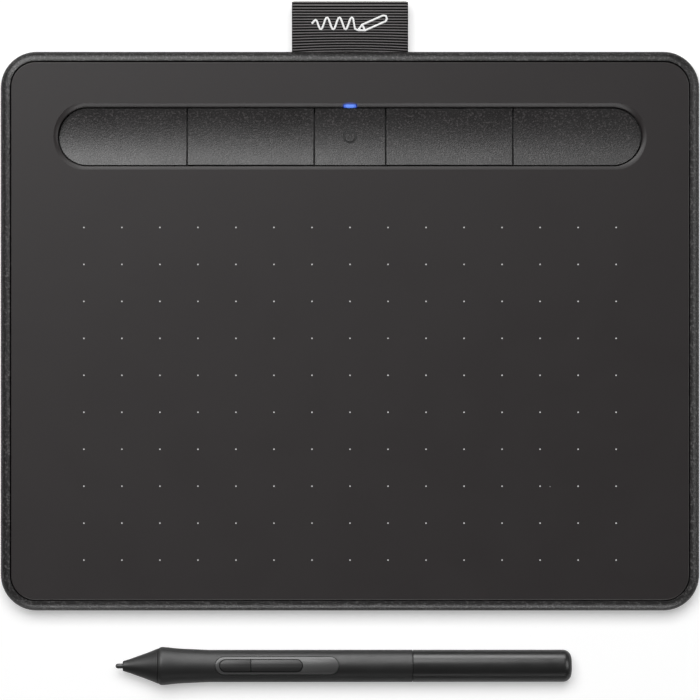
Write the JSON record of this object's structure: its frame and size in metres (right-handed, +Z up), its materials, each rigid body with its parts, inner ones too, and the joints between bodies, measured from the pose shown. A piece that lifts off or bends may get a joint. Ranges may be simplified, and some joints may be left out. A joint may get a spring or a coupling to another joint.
{
  "type": "pen drawing tablet",
  "caption": "Thin rounded drawing tablet with a hollowed row of keys, a woven pen loop on its back edge and a cordless pen lying in front of it.",
  "frame": {"origin": "on the table, under the middle of the bounding box of tablet, loop and pen", "axes": "+X to the user's right along the tablet's long side, +Y away from the user towards the keys and the loop, +Z up"},
  "size_m": [0.2, 0.1958, 0.0109],
  "materials": {
    "casing_plastic": "fine moulded grain, satin",
    "surface_plastic": "very fine matte grain that a nib bites on",
    "key_plastic": "fine moulded grain, satin",
    "inner_plastic": "as moulded",
    "clear_plastic": "clear light guide, lit blue from below",
    "rubber": "matte",
    "ribbon": "woven grosgrain ribs",
    "circuit_board": "green solder mask",
    "steel": "bright plated",
    "copper": "copper, varnished or laminated",
    "ferrite": "dull sintered grey",
    "battery_wrap": "silver pouch foil",
    "wire_red": "insulated wire",
    "wire_black": "insulated wire",
    "pen_matte": "satin, soft to the touch",
    "pen_gloss": "polished",
    "nib_plastic": "smooth acetal"
  },
  "bodies": {
    "tablet": {"rear_housing": "casing_plastic", "top_cover": "surface_plastic", "key_frame": "inner_plastic", "rubber_foot_1": "rubber", "rubber_foot_2": "rubber", "rubber_foot_3": "rubber", "rubber_foot_4": "rubber", "casing_screw_1": "steel", "casing_screw_2": "steel", "casing_screw_3": "steel", "casing_screw_4": "steel", "casing_screw_5": "steel", "casing_screw_6": "steel", "sensor_board": "circuit_board", "shield_plate": "steel", "main_board": "circuit_board", "radio_module": "steel", "controller_chip": "inner_plastic", "flex_connector": "inner_plastic", "battery_connector": "inner_plastic", "status_led": "clear_plastic", "switch_express_key_1": "inner_plastic", "switch_express_key_2": "inner_plastic", "switch_power_key": "inner_plastic", "switch_express_key_3": "inner_plastic", "switch_express_key_4": "inner_plastic", "battery": "battery_wrap", "battery_lead_red": "wire_red", "battery_lead_black": "wire_black", "usb_socket": "steel", "flex_cable": "copper", "light_guide": "clear_plastic", "pen_loop_tail": "ribbon", "loop_clamp": "inner_plastic"},
    "express_key_1": {"express_key_1": "key_plastic"},
    "express_key_2": {"express_key_2": "key_plastic"},
    "power_key": {"power_key": "key_plastic"},
    "express_key_3": {"express_key_3": "key_plastic"},
    "express_key_4": {"express_key_4": "key_plastic"},
    "pen": {"pen_grip": "pen_matte", "pen_nose": "pen_matte", "pen_key_bezel": "pen_gloss", "pen_chassis": "inner_plastic", "pen_ferrite_core": "ferrite", "pen_coil": "copper", "pen_pressure_sensor": "inner_plastic", "pen_circuit_board": "circuit_board", "pen_switch_front": "inner_plastic", "pen_switch_rear": "inner_plastic", "spare_nib_holder": "inner_plastic", "spare_nib_1": "nib_plastic", "spare_nib_2": "nib_plastic", "spare_nib_3": "nib_plastic"},
    "loop": {"pen_loop": "ribbon"},
    "nib_holder": {"pen_nib_holder": "inner_plastic"},
    "nib": {"pen_nib": "nib_plastic"},
    "pen_key_a": {"pen_key_front": "pen_matte"},
    "pen_key_b": {"pen_key_rear": "pen_matte"},
    "rear_barrel": {"pen_rear_barrel": "pen_gloss"}
  },
  "joints": [
    {"name": "express_key_1_press", "type": "slide", "parent": "tablet", "child": "express_key_1", "axis": [0, 0, -1], "range_m": [0, 0.0005], "stiffness_N_per_m": 600, "springref_m": -0.0005},
    {"name": "express_key_2_press", "type": "slide", "parent": "tablet", "child": "express_key_2", "axis": [0, 0, -1], "range_m": [0, 0.0005], "stiffness_N_per_m": 600, "springref_m": -0.0005},
    {"name": "power_key_press", "type": "slide", "parent": "tablet", "child": "power_key", "axis": [0, 0, -1], "range_m": [0, 0.0005], "stiffness_N_per_m": 600, "springref_m": -0.0005},
    {"name": "express_key_3_press", "type": "slide", "parent": "tablet", "child": "express_key_3", "axis": [0, 0, -1], "range_m": [0, 0.0005], "stiffness_N_per_m": 600, "springref_m": -0.0005},
    {"name": "express_key_4_press", "type": "slide", "parent": "tablet", "child": "express_key_4", "axis": [0, 0, -1], "range_m": [0, 0.0005], "stiffness_N_per_m": 600, "springref_m": -0.0005},
    {"name": "loop_bend", "type": "hinge", "parent": "tablet", "child": "loop", "pos_m": [0, 0.08392, 0.00445], "axis": [1, 0, 0], "range_deg": [-10, 50], "stiffness_Nm_per_rad": 0.004, "springref_deg": 0.49},
    {"name": "pen_lift", "type": "slide", "parent": "tablet", "child": "pen", "axis": [0, 0, 1], "range_m": [0, 0.12]},
    {"name": "nib_press", "type": "slide", "parent": "pen", "child": "nib_holder", "axis": [1, 0, -0.0074], "range_m": [0, 0.0008], "stiffness_N_per_m": 1000, "springref_m": -0.0003},
    {"name": "nib_pull", "type": "slide", "parent": "nib_holder", "child": "nib", "axis": [-1, 0, 0.0074], "range_m": [0, 0.03]},
    {"name": "pen_key_front_press", "type": "slide", "parent": "pen", "child": "pen_key_a", "axis": [-0.0074, -0.1045, -0.9945], "range_m": [0, 0.0004], "stiffness_N_per_m": 500, "springref_m": -0.0004},
    {"name": "pen_key_rear_press", "type": "slide", "parent": "pen", "child": "pen_key_b", "axis": [-0.0074, -0.1045, -0.9945], "range_m": [0, 0.0004], "stiffness_N_per_m": 500, "springref_m": -0.0004},
    {"name": "rear_barrel_pull", "type": "slide", "parent": "pen", "child": "rear_barrel", "axis": [1, 0, -0.0074], "range_m": [0, 0.04]}
  ]
}
